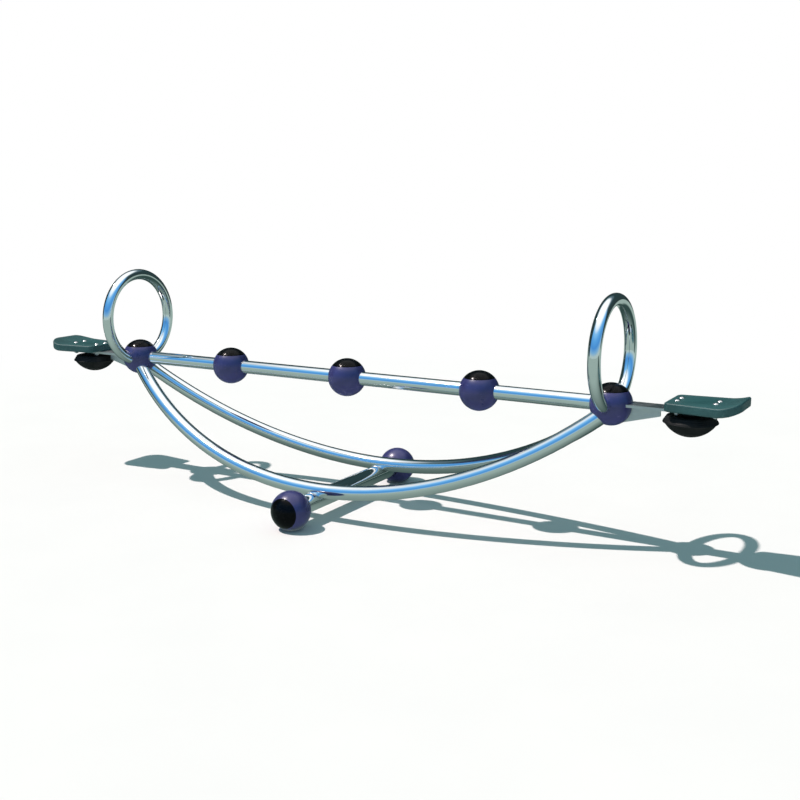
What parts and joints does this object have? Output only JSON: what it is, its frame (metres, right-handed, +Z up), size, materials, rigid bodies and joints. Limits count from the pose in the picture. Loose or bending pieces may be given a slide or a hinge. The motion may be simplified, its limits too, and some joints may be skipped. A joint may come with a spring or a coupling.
{
  "type": "playground seesaw",
  "caption": "Tubular steel seesaw with ball joints, hand rings and rubber bumpers, tilting on a torsion axle between two ground balls.",
  "frame": {"origin": "on the ground, midway between the two pivot balls and under the middle of the beam", "axes": "+X along the beam to the right-hand seat, +Y across it to the rear pivot ball, +Z up"},
  "size_m": [3.28, 0.996, 0.956],
  "materials": {
    "polished_tube": "mirror-polished stainless steel tube",
    "arm_plate": "satin stainless steel plate",
    "ball_skin": "violet-blue moulded plastic, satin gloss",
    "ball_cap": "gloss black moulded plastic",
    "cast_core": "as-cast aluminium",
    "seat_board": "dark teal moulded polyethylene",
    "bumper_rubber": "black moulded rubber",
    "torsion_rubber": "extruded natural rubber cord",
    "bush_polymer": "turned acetal",
    "housing_steel": "dark primed square steel tube",
    "axle_steel": "turned and zinc-plated steel bar",
    "fasteners": "stainless steel fasteners"
  },
  "bodies": {
    "base": {"front_pivot_core": "cast_core", "front_pivot_skin": "ball_skin", "front_pivot_cap": "ball_cap", "rear_pivot_core": "cast_core", "rear_pivot_skin": "ball_skin", "rear_pivot_cap": "ball_cap", "ground_inserts": "fasteners", "torsion_axle": "axle_steel", "axle_washers": "fasteners", "axle_nuts": "fasteners"},
    "rocker": {"beam_tube": "polished_tube", "left_ball_core": "cast_core", "left_ball_skin": "ball_skin", "left_ball_cap": "ball_cap", "left_ball_screw": "fasteners", "centre_ball_core": "cast_core", "centre_ball_skin": "ball_skin", "centre_ball_cap": "ball_cap", "centre_ball_screw": "fasteners", "right_ball_core": "cast_core", "right_ball_skin": "ball_skin", "right_ball_cap": "ball_cap", "right_ball_screw": "fasteners", "left_hub_core": "cast_core", "left_hub_skin": "ball_skin", "left_hub_cap": "ball_cap", "left_beam_set_screw": "fasteners", "left_arm_screws": "fasteners", "left_hand_ring": "polished_tube", "left_seat": "seat_board", "left_seat_arm": "arm_plate", "left_seat_bolts": "fasteners", "left_bumper": "bumper_rubber", "left_bumper_stud": "fasteners", "left_underseat_nuts": "fasteners", "right_hub_core": "cast_core", "right_hub_skin": "ball_skin", "right_hub_cap": "ball_cap", "right_beam_set_screw": "fasteners", "right_arm_screws": "fasteners", "right_hand_ring": "polished_tube", "right_seat": "seat_board", "right_seat_arm": "arm_plate", "right_seat_bolts": "fasteners", "right_bumper": "bumper_rubber", "right_bumper_stud": "fasteners", "right_underseat_nuts": "fasteners", "front_arc_tube": "polished_tube", "rear_arc_tube": "polished_tube", "cross_tube": "polished_tube", "torsion_housing": "housing_steel", "rubber_cords": "torsion_rubber", "end_bushes": "bush_polymer"}
  },
  "joints": [
    {"name": "seesaw_pivot", "type": "hinge", "parent": "base", "child": "rocker", "pos_m": [0, 0, 0.076], "axis": [0, 1, 0], "range_deg": [-17.4, 17.4], "stiffness_Nm_per_rad": 900, "deforming": ["rubber_cords"]}
  ]
}
